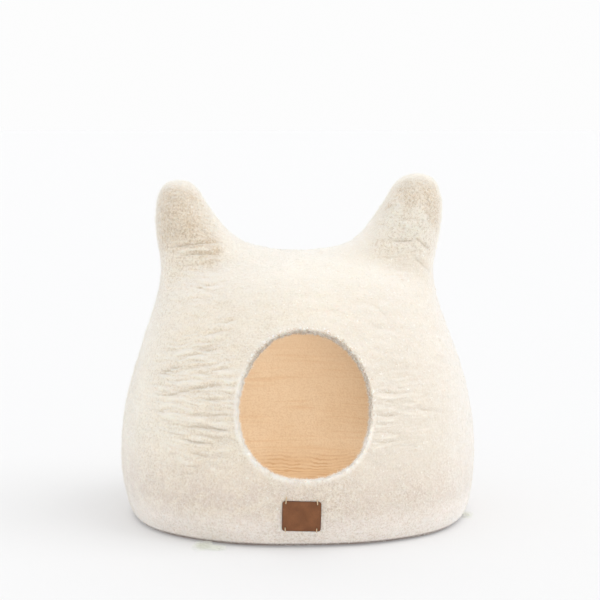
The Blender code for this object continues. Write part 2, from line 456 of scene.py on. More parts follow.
def shell_cage():
    """The coarse cage of the shell's outer surface, open at the mouth."""
    cage = bmesh.new()
    angles = [2 * math.pi * k / COLUMNS for k in range(COLUMNS)]
    rings = [add_ring(cage, [section_point(section, angle) for angle in angles]) for section in SECTIONS]
    for lower, upper in zip(rings, rings[1:]):
        bridge(cage, lower, upper)
    open_mouth(cage, rings)
    grid_cap(cage, rings[0], floor_point)
    crown = grid_cap(cage, rings[-1], crown_point)
    grow_ear(cage, crown, -1, LEFT_EAR)
    grow_ear(cage, crown, 1, RIGHT_EAR)
    bmesh.ops.recalc_face_normals(cage, faces=cage.faces)
    return finished_mesh(cage, "cage")


def press_and_dent(mesh):
    """Gives the outer surface its slow dents, and presses it flat where it meets the floor."""
    moved = []
    for vertex in mesh.vertices:
        swell = noise.noise(vertex.co / (DENT_WAVELENGTH * MM) + DENT_SEED)
        moved.append(vertex.co + vertex.normal * swell * DENT_DEPTH * MM)
    ease = FLOOR_EASE * MM
    for vertex, place in zip(mesh.vertices, moved):
        if place.z < ease:
            place.z = max(place.z + ease, 0.0) ** 2 / (4 * ease)
        vertex.co = place


def outer_surface(levels):
    """The shell's outer surface, open at the mouth."""
    thing = new_object("surface", shell_cage())
    rounding = thing.modifiers.new("round", "SUBSURF")
    rounding.levels = rounding.render_levels = levels
    mesh = baked_mesh(thing)
    press_and_dent(mesh)
    return mesh


def closed_body(materials):
    """The outer surface thickened inwards to the felt's inner face, with the cut edge between them."""
    surface = outer_surface(BODY_LEVELS)
    for material in materials:
        surface.materials.append(material)
    thing = new_object("body", surface)
    thick = thing.modifiers.new("thick", "SOLIDIFY")
    thick.thickness = FELT_THICKNESS * MM
    thick.offset = -1.0
    thick.use_even_offset = True
    thick.material_offset = INNER
    thick.material_offset_rim = CUT
    return baked_mesh(thing)


# ---- creases and lumps ----

def crease_curve(crease):
    """Points along a crease as seen from the front, in millimetres, and the share of its depth at each."""
    start, middle, end = (np.array((crease["x%d" % k], crease["z%d" % k]), float) for k in range(3))
    pull = 2 * middle - (start + end) / 2
    length = np.linalg.norm(middle - start) + np.linalg.norm(end - middle)
    share = np.linspace(0.0, 1.0, max(4, int(length / CREASE_STEP)))[:, None]
    points = (1 - share) ** 2 * start + 2 * share * (1 - share) * pull + share ** 2 * end
    swell = np.empty(len(points))
    for k, s in enumerate(share[:, 0]):
        along = s * length
        stray = noise.noise(Vector((along / 12.0, crease["z0"], crease["x0"])))
        stray += 0.4 * noise.noise(Vector((along / 4.5, crease["z0"], crease["x0"])))
        points[k, 1] += stray * CREASE_WANDER * math.sin(math.pi * s)
        swell[k] = 0.95 + 0.45 * noise.noise(Vector((along / 14.0, 7.0, crease["z0"])))
    return points, np.sin(math.pi * np.clip(share[:, 0], 0.02, 0.98)) ** 0.8 * swell


def crease_heights(places):
    """How far the creases raise or lower the front at each place, an array of x and z in millimetres."""
    heights = np.zeros(len(places))
    for crease in CREASES:
        points, depths = crease_curve(crease)
        reach = crease["width"] * CREASE_REACH
        low, high = points.min(axis=0) - reach, points.max(axis=0) + reach
        near = np.nonzero(np.all((places > low) & (places < high), axis=1))[0]
        if not len(near):
            continue
        gaps = np.linalg.norm(places[near][:, None, :] - points[None, :, :], axis=2)
        nearest = gaps.argmin(axis=1)
        away = gaps[np.arange(len(near)), nearest] / crease["width"]
        for band in CREASE_BANDS:
            bump = band["share"] * np.exp(-((away - band["away"]) / band["breadth"]) ** 2)
            heights[near] += crease["depth"] * depths[nearest] * bump
    return heights


def wrinkle_strength(patch, x, z):
    """From 1 in the middle of a patch of wrinkles to 0 at its edge; numbers or arrays, in millimetres."""
    across = (x - patch["centre_x"]) / patch["half_width"]
    up = (z - patch["centre_z"]) / patch["half_height"]
    return 1.0 - across * across - up * up


def wrinkle_height(place):
    """How far the wrinkles raise or lower the front at a place in millimetres."""
    total = 0.0
    for patch in WRINKLES:
        strength = wrinkle_strength(patch, place.x, place.z)
        if strength <= 0.0:
            continue
        rise = patch["fan"] * (place.z - patch["centre_z"]) / patch["half_height"]
        z = place.z - rise * (place.x - patch["centre_x"])
        z += WRINKLE_BEND * noise.noise(Vector((place.x / 22.0, 5.0, place.z / 26.0)))
        for wave in WRINKLE_WAVES:
            swing = noise.noise(Vector((place.x / wave["length"], patch["centre_x"], z / wave["height"])))
            swell = math.sqrt(abs(swing) * 2.0) - WRINKLE_EVEN
            total += swell * wave["share"] * patch["depth"] * min(1.0, strength * 1.8)
    return total


def lump_height(place):
    total = 0.0
    for lump in LUMPS:
        spot = Vector((place.x / lump["across"], place.y / lump["across"], place.z / lump["up"]))
        total += noise.noise(spot + Vector((lump["seed"],) * 3)) * lump["depth"]
    return total


def on_an_ear(x, z):
    """1 on the ears and 0 below them; numbers or arrays, in millimetres."""
    return ramp(z, 338.0, 362.0) * ramp(np.abs(x), 85.0, 105.0)


# ---- the felt ----

def materials_at(vertex):
    return {face.material_index for face in vertex.link_faces}


def wanted_cells(middles):
    """How long the edges with these middles should be; both in millimetres."""
    x, y, z = middles.T
    ahead = y < CREASED_AHEAD_OF
    creases = crease_heights(middles[:, [0, 2]])
    wrinkled = np.any([wrinkle_strength(patch, x, z) > 0.03 for patch in WRINKLES], axis=0)
    uneven = wrinkled | (np.abs(creases) > 0.15)
    wanted = np.full(len(middles), CELL_ELSEWHERE)
    wanted[(y < FRONT_Y) & (z > FRONT_LOW) & (z < FRONT_HIGH)] = CELL_IN_FRONT
    wanted[(ahead & uneven) | (on_an_ear(x, z) > 0.1)] = CELL_WHERE_UNEVEN
    wanted[ahead & (creases < -0.45)] = CELL_IN_A_CREASE
    return wanted


def split_long_edges(felt):
    """Cuts in two each edge above the floor, but for the inner side's, that is longer than wanted there."""
    edges = [edge for edge in felt.edges if any(face.material_index != INNER for face in edge.link_faces)]
    ends = np.array([[vertex.co[:] for vertex in edge.verts] for edge in edges]) / MM
    middles = ends.mean(axis=1)
    lengths = np.linalg.norm(ends[:, 1] - ends[:, 0], axis=1)
    at_rim = np.array([any(face.material_index == CUT for face in edge.link_faces) for edge in edges])
    wanted = np.where(at_rim, CELL_AT_RIM, wanted_cells(middles))
    long = (lengths > wanted * CELL_SLACK) & (middles[:, 2] > 1.0)
    picked = [edge for edge, pick in zip(edges, long) if pick]
    bmesh.ops.subdivide_edges(felt, edges=picked, cuts=1, use_grid_fill=True)


def round_edge(felt, side, rounding, segments):
    """Rounds the mouth's edge between the cut face and the felt's outer or inner side."""
    edges = [edge for edge in felt.edges if {face.material_index for face in edge.link_faces} == {side, CUT}]
    made = bmesh.ops.bevel(
        felt,
        geom=edges,
        offset=rounding * MM,
        offset_type="OFFSET",
        segments=segments,
        profile=0.5,
        affect="EDGES",
    )
    for face in made["faces"]:
        face.material_index = CUT


def around_mouth(place):
    """The angle of a place around the mouth, in sixteenths of a turn from +X over the top."""
    angle = math.atan2(place.z / MM - MOUTH_CENTRE_Z, place.x / MM - MOUTH_CENTRE_X)
    return angle / (2 * math.pi) * len(RIM) % len(RIM)


def mouth_edge(felt, side):
    """The places of the edge between the cut face and the felt's outer or inner side, ready for a search."""
    edge = [vertex for vertex in felt.verts if materials_at(vertex) == {side, CUT}]
    places = KDTree(len(edge))
    for index, vertex in enumerate(edge):
        places.insert(vertex.co, index)
    places.balance()
    return places


def draw_edge_inwards(felt, side, column, other_side):
    """Draws one of the mouth's edges inwards, with what is near it but for the felt's other side."""
    places = mouth_edge(felt, side)
    inward = [corner[column] for corner in RIM]
    for vertex in felt.verts:
        gap = places.find(vertex.co)[2] / MM
        if gap > FELT_THICKNESS or other_side in materials_at(vertex):
            continue
        turn = around_mouth(vertex.co)
        before, share = int(turn) % len(RIM), turn - int(turn)
        distance = inward[before] * (1 - share) + inward[(before + 1) % len(RIM)] * share
        way = Vector((MOUTH_CENTRE_X * MM - vertex.co.x, 0.0, MOUTH_CENTRE_Z * MM - vertex.co.z)).normalized()
        vertex.co += way * distance * (1.0 - gap / FELT_THICKNESS) * MM


def lay_on(felt, guide):
    """Moves the vertices inside the outer surface onto the guide, a finer copy of that surface."""
    for vertex in felt.verts:
        if materials_at(vertex) == {OUTER}:
            vertex.co = guide.find_nearest(vertex.co)[0]


def past_patch(x, z):
    """How far a place lies outside the patch's edge, as seen from the front; numbers or arrays."""
    beside = np.abs(x - PATCH_CENTRE_X) - PATCH_WIDTH / 2
    above = np.abs(z - PATCH_CENTRE_Z) - PATCH_HEIGHT / 2
    return np.maximum(beside, above)


def raise_surface(felt):
    """Lays the lumps, wrinkles, creases and nubs over the outer surface, and marks its hollows and ridges for
    painted shade and painted highlights.
    """
    felt.normal_update()
    hollow = felt.verts.layers.float.new("hollow")
    outer = [vertex for vertex in felt.verts if OUTER in materials_at(vertex)]
    creases = crease_heights(np.array([(vertex.co.x, vertex.co.z) for vertex in outer]) / MM)
    for vertex, crease in zip(outer, creases):
        place = vertex.co / MM
        height = 0.0
        if place.y < CREASED_AHEAD_OF:
            height = crease + wrinkle_height(place)
            vertex[hollow] = -height
        ear = on_an_ear(place.x, place.z)
        if ear > 0.0:
            height += noise.noise(place / NUB_SIZE) * NUB_HEIGHT * ear
        height += lump_height(place) - BODY_FUZZ_ROOM - (EAR_FUZZ_ROOM - BODY_FUZZ_ROOM) * ear
        height *= ramp(place.z, 0.0, 12.0)
        if place.y < 0.0:
            height *= ramp(past_patch(place.x, place.z), 0.0, 4.0)
        vertex.co += vertex.normal * height * MM


def fray_rim(felt, guide):
    """Roughens the mouth's cut face, and marks where the rim gets grey flecks of painted shade and where a
    painted highlight makes it a bright lip.
    """
    cut, lip = felt.verts.layers.float.new("cut"), felt.verts.layers.float.new("lip")
    places = mouth_edge(felt, OUTER)
    for vertex in felt.verts:
        gap = places.find(vertex.co)[2] / MM
        if gap > 2 * FELT_THICKNESS:
            continue
        turn = math.cos((around_mouth(vertex.co) - SHADED_RIM_MIDDLE) * 2 * math.pi / len(RIM))
        shaded = ramp(turn, -0.1, 0.4)
        # cut: where painted shade greys the rim; lip: where a painted highlight brightens it
        if CUT in materials_at(vertex):
            depth = guide.find_nearest(vertex.co)[3] / MM
            vertex[cut] = shaded * min(1.0, depth)
            vertex[lip] = (1.0 - shaded) * ramp(noise.noise(vertex.co / MM / 5.0), -0.75, 0.25)
            ragged = noise.noise(vertex.co / MM / 6.0) + 0.7 * noise.noise(vertex.co / MM / 2.5)
            vertex.co += vertex.normal * ragged * RIM_RAGGED * MM
        elif OUTER in materials_at(vertex):
            vertex[cut] = shaded * max(0.0, 0.66 - gap / SHADED_RIM_REACH)
            vertex[lip] = (1.0 - shaded) * max(0.0, 1.0 - gap / LIP_REACH)


def make_felt(guide, materials):
    """The whole shell as one closed body of felt."""
    mesh = closed_body(materials)
    felt = bmesh.new()
    felt.from_mesh(mesh)
    round_edge(felt, OUTER, LIP_ROUNDING, 4)
    round_edge(felt, INNER, INNER_ROUNDING, 2)
    for _ in range(CELL_SPLITS):
        split_long_edges(felt)
    lay_on(felt, guide)
    draw_edge_inwards(felt, INNER, "inner", OUTER)
    draw_edge_inwards(felt, OUTER, "outer", INNER)
    fray_rim(felt, guide)
    raise_surface(felt)
    felt.to_mesh(mesh)
    felt.free()
    mesh.shade_smooth()
    return place_piece("felt_shell", mesh, "felt", "shell")


# ---- materials ----

class Paint:
    """A material being put together; each call adds a node and gives back its result."""

    def __init__(self, name, roughness, sheen=0.0):
        self.material = bpy.data.materials.new(name)
        self.material.use_nodes = True
        self.nodes = self.material.node_tree.nodes
        self.shader = self.nodes["Principled BSDF"]
        self.set("Roughness", roughness)
        self.set("Specular IOR Level", 0.2)
        self.set("Sheen Weight", sheen)
        self.set("Sheen Roughness", 0.5)
        self.place = self.nodes.new("ShaderNodeTexCoord").outputs["Object"]
        self.colour = None

    def set(self, name, value):
        self.shader.inputs[name].default_value = value

    def feed(self, target, value):
        if isinstance(value, bpy.types.NodeSocket):
            self.material.node_tree.links.new(value, target)
        else:
            target.default_value = value

    def stretched(self, x, y, z):
        """The object's coordinates, scaled by so much along each axis."""
        node = self.nodes.new("ShaderNodeMapping")
        self.feed(node.inputs["Vector"], self.place)
        node.inputs["Scale"].default_value = (x, y, z)
        return node.outputs["Vector"]

    def noise(self, size, detail=2.0, roughness=0.5, distortion=0.0, place=None):
        """Noise whose features are about as big as size, in millimetres."""
        node = self.nodes.new("ShaderNodeTexNoise")
        self.feed(node.inputs["Vector"], place or self.place)
        node.inputs["Scale"].default_value = 1000.0 / size
        node.inputs["Detail"].default_value = detail
        node.inputs["Roughness"].default_value = roughness
        node.inputs["Distortion"].default_value = distortion
        return node.outputs["Fac"]

    def axis(self, name):
        node = self.nodes.new("ShaderNodeSeparateXYZ")
        self.feed(node.inputs[0], self.place)
        return node.outputs[name]

    def facing(self, name):
        """How far the surface faces along an axis of the world, from -1 to 1."""
        node = self.nodes.new("ShaderNodeSeparateXYZ")
        self.feed(node.inputs[0], self.nodes.new("ShaderNodeNewGeometry").outputs["Normal"])
        return node.outputs[name]

    def attribute(self, name):
        node = self.nodes.new("ShaderNodeAttribute")
        node.attribute_name = name
        return node.outputs["Fac"]

    def span(self, value, low, high, to_low=0.0, to_high=1.0):
        """Turns low to high into to_low to to_high, smoothly and no further."""
        node = self.nodes.new("ShaderNodeMapRange")
        node.interpolation_type = "SMOOTHSTEP"
        self.feed(node.inputs["Value"], value)
        for name, number in zip(("From Min", "From Max", "To Min", "To Max"), (low, high, to_low, to_high)):
            node.inputs[name].default_value = number
        return node.outputs["Result"]

    def maths(self, operation, first, second=0.0, clamp=False):
        node = self.nodes.new("ShaderNodeMath")
        node.operation = operation
        node.use_clamp = clamp
        self.feed(node.inputs[0], first)
        self.feed(node.inputs[1], second)
        return node.outputs[0]

    def plus(self, total, *more):
        for value in more:
            total = self.maths("ADD", total, value)
        return total

    def times(self, total, *more):
        for value in more:
            total = self.maths("MULTIPLY", total, value)
        return total

    def mix(self, share, first, second):
        node = self.nodes.new("ShaderNodeMix")
        node.data_type = "RGBA"
        self.feed(node.inputs["Factor"], share)
        for socket, colour in zip([s for s in node.inputs if s.type == "RGBA"], (first, second)):
            self.feed(socket, (*colour, 1.0) if isinstance(colour, tuple) else colour)
        return next(s for s in node.outputs if s.type == "RGBA")

    def tint(self, share, colour):
        """Mixes a colour over the one that the material has so far."""
        self.colour = self.mix(share, self.colour, colour)

    def relief(self, height, depth, below=None):
        """A bump of so many millimetres, over another one where given."""
        node = self.nodes.new("ShaderNodeBump")
        node.inputs["Distance"].default_value = depth * MM
        self.feed(node.inputs["Height"], height)
        if below:
            self.feed(node.inputs["Normal"], below)
        return node.outputs["Normal"]

    def finish(self, normal=None):
        self.feed(self.shader.inputs["Base Color"], self.colour)
        if normal:
            self.feed(self.shader.inputs["Normal"], normal)
        return self.material


def outer_felt():
    """Cream wool: nubby on the ears, at the left and low down, finer elsewhere, with painted shade and
    highlights all over, and grey painted shade or a bright painted highlight at the rim.
    """
    paint = Paint("felt_outer", 0.95, sheen=0.8)
    paint.set("Subsurface Weight", 0.6)
    paint.set("Subsurface Radius", (1.0, 0.85, 0.7))
    paint.set("Subsurface Scale", 0.003)

    # where things are, in metres
    x, z = paint.axis("X"), paint.axis("Z")
    top_light_share = paint.span(paint.facing("Z"), 0.25, 0.8)
    # the ears' colour is kept to faces turned to the front or back, so that their cream edges are a painted
    # halo
    flat_on = paint.span(paint.maths("ABSOLUTE", paint.facing("Y")), 0.15, 0.6)
    at_ends = paint.times(flat_on, paint.span(paint.maths("ABSOLUTE", x), 0.08, 0.10))
    ear_foot = paint.plus(
        z,
        paint.span(x, -0.05, 0.05, 0.0, -0.068),
        paint.span(x, 0.150, 0.182, 0.0, 0.06),
        paint.span(paint.noise(28, 3.0), 0.3, 0.7, -0.016, 0.016),
    )
    ears = paint.times(at_ends, paint.span(ear_foot, 0.308, 0.360))
    left = paint.span(x, 0.10, -0.10)
    right = paint.times(paint.span(x, 0.03, 0.11), paint.span(z, 0.36, 0.30))
    low = paint.span(z, 0.12, 0.055)
    nubby = paint.plus(
        paint.maths("MAXIMUM", paint.times(left, 0.55), paint.times(low, 0.6)),
        paint.times(left, paint.span(z, 0.23, 0.32, 0.0, 0.35)),
        paint.span(paint.noise(60, 3.0), 0.35, 0.65, -0.15, 0.15),
    )
    whole_ears = paint.times(at_ends, paint.span(z, 0.315, 0.345), paint.span(x, -0.05, 0.05, 1.0, 0.9))
    nubby = paint.maths("MAXIMUM", nubby, whole_ears, clamp=True)

    # the wool's small forms
    nubs = paint.noise(2.5, 2.0, 0.65, 0.6)
    across = paint.noise(2.2, 2.0, 0.5, 0.3, paint.stretched(0.12, 0.12, 1.0))
    upright = paint.noise(2.0, 2.0, 0.5, 0.3, paint.stretched(1.0, 1.0, 0.12))
    fibres = paint.times(paint.plus(across, upright), 0.5)

    # its colour, area by area
    cloudy = paint.span(paint.noise(38, 3.0, 0.55), 0.3, 0.7)
    paint.colour = paint.mix(cloudy, (0.86, 0.785, 0.665), (0.88, 0.812, 0.70))
    # warmer and paler towards the left: partly the wool's own tone, partly painted light where the lamp from
    # the right leaves shade
    paint.tint(paint.times(left, 0.7), (0.94, 0.85, 0.715))
    paint.tint(paint.span(x, -0.12, -0.18, 0.0, 0.9), (0.98, 0.91, 0.795))
    # greyer and darker towards the right: painted shade where the lamp from the right falls
    paint.tint(paint.times(right, 0.75), (0.79, 0.727, 0.642))
    paint.tint(paint.span(x, 0.15, 0.21, 0.0, 0.6), (0.79, 0.745, 0.685))
    patchy = paint.span(paint.noise(16, 3.0, 0.6), 0.38, 0.62, 0.4, 1.0)
    paint.tint(paint.times(low, patchy), (0.78, 0.685, 0.605))
    # painted light: paler and pinker low on the wall, lifting the shade under its overhang
    paint.tint(paint.span(z, 0.052, 0.02, 0.0, 0.85), (0.985, 0.905, 0.85))
    # painted light on the lower front of the right ear, lifting the shade that the lamp leaves there
    paint.tint(paint.times(at_ends, paint.span(x, 0.0, 0.05), paint.span(z, 0.31, 0.38)), (0.99, 0.935, 0.84))
    # the ears' tan and darker clumps: partly the wool's own colour, partly painted shade among its tight
    # curls
    paint.tint(paint.times(ears, 0.8), (0.785, 0.655, 0.495))
    clumps = paint.span(paint.noise(7, 2.0), 0.55, 0.4, 0.0, 0.45)
    paint.tint(paint.times(ears, clumps), (0.655, 0.524, 0.374))

    # painted shade in the pits and hollows, painted highlights on the tops and ridges, the upper side made
    # pale by painted top light, and the dark line along the floor, a painted contact shadow
    pit_shade_share = paint.plus(paint.span(nubby, 0.0, 1.0, 0.16, 0.52), paint.times(ears, 0.25))
    paint.tint(paint.times(paint.span(nubs, 0.54, 0.36), pit_shade_share), (0.524, 0.411, 0.29))
    nub_highlight = paint.times(paint.span(nubs, 0.54, 0.68), paint.span(nubby, 0.0, 1.0, 0.25, 0.8))
    paint.tint(nub_highlight, (0.92, 0.865, 0.76))
    paint.tint(paint.span(fibres, 0.56, 0.42, 0.0, 0.22), (0.692, 0.608, 0.496))
    hollow = paint.attribute("hollow")
    # painted shade in the hollows of the creases and wrinkles, and painted highlights along their ridges
    paint.tint(paint.span(hollow, 0.1, 1.6, 0.0, 0.5), (0.58, 0.477, 0.355))
    paint.tint(paint.span(hollow, -0.1, -0.8, 0.0, 0.6), (0.94, 0.89, 0.79))
    # painted top light: paler and more neutral where the surface faces up
    paint.tint(paint.times(top_light_share, 0.7), (0.845, 0.80, 0.725))
    # painted contact shadow: a dark band in the lowest few millimetres, where the felt meets the floor
    paint.tint(paint.span(z, 0.0065, 0.003), (0.12, 0.055, 0.025))

    # the rim: a bright lip of painted highlight, and grey flecks of painted shade where the cut face is
    # shaded
    paint.tint(paint.attribute("lip"), (1.0, 0.955, 0.89))
    flecks = paint.span(paint.noise(2.6, 2.0, 0.7, 0.8), 0.42, 0.54)
    grey = paint.mix(flecks, (0.69, 0.56, 0.43), (1.0, 0.98, 0.92))
    ragged = paint.span(paint.noise(3.5, 3.0, 0.6), 0.3, 0.7, -0.6, 0.6)
    paint.tint(paint.span(paint.plus(paint.attribute("cut"), ragged), 0.35, 0.75), grey)

    raised = paint.times(nubs, paint.span(nubby, 0.0, 1.0, 0.3, 1.0))
    return paint.finish(paint.relief(raised, 1.4, paint.relief(fibres, 0.5)))


def inner_felt():
    """The tan inside, partly painted light for the warm glow that comes through the wool: faint streaks, and
    fine wavy lines of painted shade low down where the wall turns into the base.
    """
    paint = Paint("felt_inner", 0.95)
    x, y, z = (paint.axis(name) for name in "XYZ")
    across = paint.noise(5.0, 3.0, 0.5, 0.4, paint.stretched(0.06, 0.06, 1.0))
    upright = paint.noise(4.0, 2.0, 0.5, 0.2, paint.stretched(1.0, 1.0, 0.08))
    grain = paint.noise(2.4, 2.0, 0.6, 0.4)
    cloudy = paint.span(paint.noise(70, 2.0), 0.3, 0.7)
    paint.colour = paint.mix(cloudy, (0.84, 0.695, 0.505), (0.87, 0.735, 0.55))
    paint.tint(paint.span(across, 0.50, 0.32, 0.0, 0.5), (0.77, 0.57, 0.37))
    paint.tint(paint.span(upright, 0.48, 0.30, 0.0, 0.2), (0.80, 0.62, 0.43))
    paint.tint(paint.span(z, 0.10, 0.21, 0.0, 0.45), (0.64, 0.48, 0.32))
    paint.tint(paint.span(grain, 0.56, 0.38, 0.0, 0.3), (0.66, 0.48, 0.30))
    paint.tint(paint.span(z, 0.06, 0.0, 0.0, 0.6), (0.74, 0.54, 0.33))

    # the wavy lines are painted shade of small folds in the felt, drawn in colour alone
    bends = paint.noise(70, 1.0, 0.5, 0.0, paint.stretched(0.6, 1.0, 1.0))
    slopes = paint.plus(paint.times(z, 210.0), paint.times(y, 60.0))
    order = paint.plus(slopes, paint.times(bends, 6.0), paint.times(paint.noise(11, 2.0), 1.1))
    from_middle = paint.plus(paint.times(x, x), paint.times(y, y))
    waves = paint.times(
        paint.span(paint.maths("SINE", paint.times(order, 2 * math.pi)), -0.4, 1.0),
        paint.span(paint.noise(18, 2.0), 0.36, 0.6, 0.3, 1.0),
        paint.span(z, 0.042, 0.014, 0.0, 0.65),
        paint.span(from_middle, 0.10 ** 2, 0.14 ** 2, 0.12, 1.0),
    )
    paint.tint(waves, (0.58, 0.36, 0.19))
    return paint.finish(paint.relief(grain, 0.4, paint.relief(across, 0.5)))


def wool_fibre(name, dark, light):
    paint = Paint(name, 0.9, sheen=1.0)
    paint.colour = paint.mix(paint.noise(9.0), dark, light)
    return paint.finish()


def rim_fibre():
    """Fibres with a painted highlight along the lip, and ones flecked with painted shade where the cut face
    is shaded.
    """
    paint = Paint("rim_fuzz", 0.9, sheen=1.0)
    rise = paint.plus(paint.times(paint.axis("X"), 0.38), paint.axis("Z"))
    flecked = paint.mix(paint.span(paint.noise(2.2), 0.45, 0.55), (0.66, 0.54, 0.42), (1.0, 0.96, 0.88))
    paint.colour = paint.mix(paint.span(rise, 0.15, 0.20), (1.0, 0.96, 0.90), flecked)
    return paint.finish()


def brown_leather():
    """Smooth tanned leather: fine grain, soft clouding, darker, polished edges, and polished holes darkened
    further by painted shade.
    """
    paint = Paint("leather_patch", 0.55)
    paint.set("Specular IOR Level", 0.4)
    clouds = paint.noise(14, 3.0, 0.55)
    grain = paint.noise(1.1, 2.0, 0.6, 0.4)
    paint.colour = paint.mix(paint.span(clouds, 0.3, 0.7), (0.181, 0.062, 0.0175), (0.244, 0.090, 0.029))
    paint.tint(paint.span(grain, 0.55, 0.35, 0.0, 0.35), (0.13, 0.05, 0.02))
    paint.tint(paint.attribute("wear_and_hole_shade"), (0.075, 0.028, 0.012))
    return paint.finish(paint.relief(grain, 0.12, paint.relief(clouds, 0.5)))


def sewing_thread():
    paint = Paint("thread", 0.7)
    paint.colour = paint.mix(paint.noise(0.8), (0.62, 0.44, 0.26), (0.80, 0.66, 0.46))
    return paint.finish()


# ---- the fuzz ----

def surface_triangles(mesh, slot):
    """Corner places and normals of the mesh's triangles in one material slot."""
    mesh.calc_loop_triangles()
    count = len(mesh.loop_triangles)
    corners, slots = np.empty(count * 3, np.int32), np.empty(count, np.int32)
    mesh.loop_triangles.foreach_get("vertices", corners)
    mesh.loop_triangles.foreach_get("material_index", slots)
    places = np.empty(len(mesh.vertices) * 3, np.float32)
    normals = np.empty_like(places)
    mesh.vertices.foreach_get("co", places)
    mesh.vertex_normals.foreach_get("vector", normals)
    corners = corners.reshape(-1, 3)[slots == slot]
    return places.reshape(-1, 3)[corners], normals.reshape(-1, 3)[corners]


def fuzziness(middles, fuzz):
    """How thickly each place is covered: less over the crown and the right, not by the floor or the patch."""
    x, y, z = middles.T
    ears = on_an_ear(x, z)
    smooth = np.clip(ramp(z, 200.0, 300.0) + ramp(x, 60.0, 160.0), 0.0, 1.0)
    cover = fuzz["on_ears"] * ears + fuzz["on_body"] * (1.0 - ears) * (1.0 - 0.5 * smooth)
    bare = (z < FUZZ_FROM_FLOOR) | ((past_patch(x, z) < 1.0) & (y < 0))
    return np.where(bare, 0.0, cover)


def scatter(random, places, normals, fuzz):
    """Points spread over triangles, with the surface's normal at each."""
    count = fuzz["count"]
    areas = np.linalg.norm(np.cross(places[:, 1] - places[:, 0], places[:, 2] - places[:, 0]), axis=1)
    areas *= fuzziness(places.mean(axis=1) / MM, fuzz)
    chosen = random.choice(len(areas), size=count, p=areas / areas.sum())
    u, v = random.random(count), random.random(count)
    over = u + v > 1
    u[over], v[over] = 1 - u[over], 1 - v[over]
    shares = np.stack((1 - u - v, u, v), axis=1)[:, :, None]
    normal = (normals[chosen] * shares).sum(axis=1)
    return (places[chosen] * shares).sum(axis=1), normal / np.linalg.norm(normal, axis=1)[:, None]


def directions(random, normals):
    """For each normal a direction along the surface, chosen at random, and the one across it."""
    wild = random.normal(size=normals.shape)
    along = wild - (wild * normals).sum(axis=1)[:, None] * normals
    along /= np.linalg.norm(along, axis=1)[:, None]
    return along, np.cross(normals, along)


def bent_paths(random, roots, normals, lengths, lifts):
    """Three points for each fibre: its root, its middle and its tip."""
    along, side = directions(random, normals)
    curl = (random.normal(0, 0.3, len(roots)) * lengths)[:, None] * side
    middle = roots + along * (lengths * 0.5)[:, None] + normals * (lifts * 0.8)[:, None] - curl * 0.3
    tip = roots + along * (lengths * 0.85)[:, None] + normals * lifts[:, None] + curl
    return np.stack((roots, middle, tip), axis=1)


def curled_paths(random, roots, normals, lengths, lifts):
    """Points for each fibre along most of a loop that rises from the surface and comes back to it."""
    along, side = directions(random, normals)
    sweep = random.uniform(3.2, 5.4, len(roots))
    points = []
    for share in np.linspace(0.0, 1.0, CURL_POINTS):
        across, ahead = np.cos(sweep * share), np.sin(sweep * share)
        rise = normals * (lifts * math.sin(math.pi * share))[:, None]
        aside = along * across[:, None] + side * ahead[:, None]
        points.append(roots + aside * (lengths / 2)[:, None] + rise)
    return np.stack(points, axis=1)


def ribbons(random, paths, normals, half_width):
    """A mesh of fibres, each a ribbon along its path that ends in a point."""
    count, steps = paths.shape[:2]
    along = paths[:, 1] - paths[:, 0]
    side = np.cross(normals, along / np.linalg.norm(along, axis=1)[:, None])
    roll = random.uniform(0, math.pi, count)[:, None]
    broad = ((np.cos(roll) * side + np.sin(roll) * normals) * half_width)[:, None, :]
    edges = np.stack((paths[:, :-1] - broad, paths[:, :-1] + broad), axis=2).reshape(count, -1, 3)
    points = np.concatenate((edges, paths[:, -1:]), axis=1)
    each = points.shape[1]
    points = points.reshape(-1, 3)
    points[:, 2] = np.maximum(points[:, 2], 0.1 * MM)
    first = np.arange(count)[:, None] * each
    faces = (first + np.array([each - 3, each - 2, each - 1])).tolist()
    for k in range(steps - 2):
        faces += (first + np.array([0, 1, 3, 2]) + 2 * k).tolist()
    mesh = bpy.data.meshes.new("fibres")
    mesh.from_pydata(points, [], faces)
    return mesh


def make_fuzz(felt, material, finer_materials):
    for fuzz in FUZZ:
        random = np.random.default_rng(fuzz["seed"])
        roots, normals = scatter(random, *surface_triangles(felt.data, fuzz["slot"]), fuzz)
        lengths = random.uniform(0.5, 1.5, fuzz["count"]) * fuzz["length"] * MM
        lifts = random.gamma(2.0, 0.5, fuzz["count"]) * fuzz["lift"] * MM
        make_paths = curled_paths if fuzz["curled"] else bent_paths
        paths = make_paths(random, roots - normals * 0.2 * MM, normals, lengths, lifts)
        mesh = ribbons(random, paths, normals, fuzz["half_width"] * MM)
        mesh.materials.append(finer_materials.get(fuzz["name"], material))
        place_piece(fuzz["name"], mesh, "felt")


def make_tufts(material):
    random = np.random.default_rng(11)
    for number, tuft in enumerate(TUFTS, 1):
        count = tuft["count"]
        spread = np.clip(random.normal(0.0, 0.5, (count, 2)), -1.0, 1.0)
        roots = np.column_stack((
            tuft["x"] + spread[:, 0] * tuft["half_x"],
            tuft["y"] + spread[:, 1] * tuft["half_y"],
            random.uniform(0.2, 3.0, count),
        )) * MM
        normals = np.tile((0.0, 0.0, 1.0), (count, 1))
        lengths = random.uniform(0.4, 1.2, count) * TUFT_LENGTH * MM
        lifts = random.uniform(0.0, 2.5, count) * MM
        paths = curled_paths(random, roots, normals, lengths, lifts)
        mesh = ribbons(random, paths, normals, TUFT_HALF_WIDTH * MM)
        mesh.materials.append(material)
        place_piece("wool_tuft_%d" % number, mesh, "felt")


# ---- the patch ----

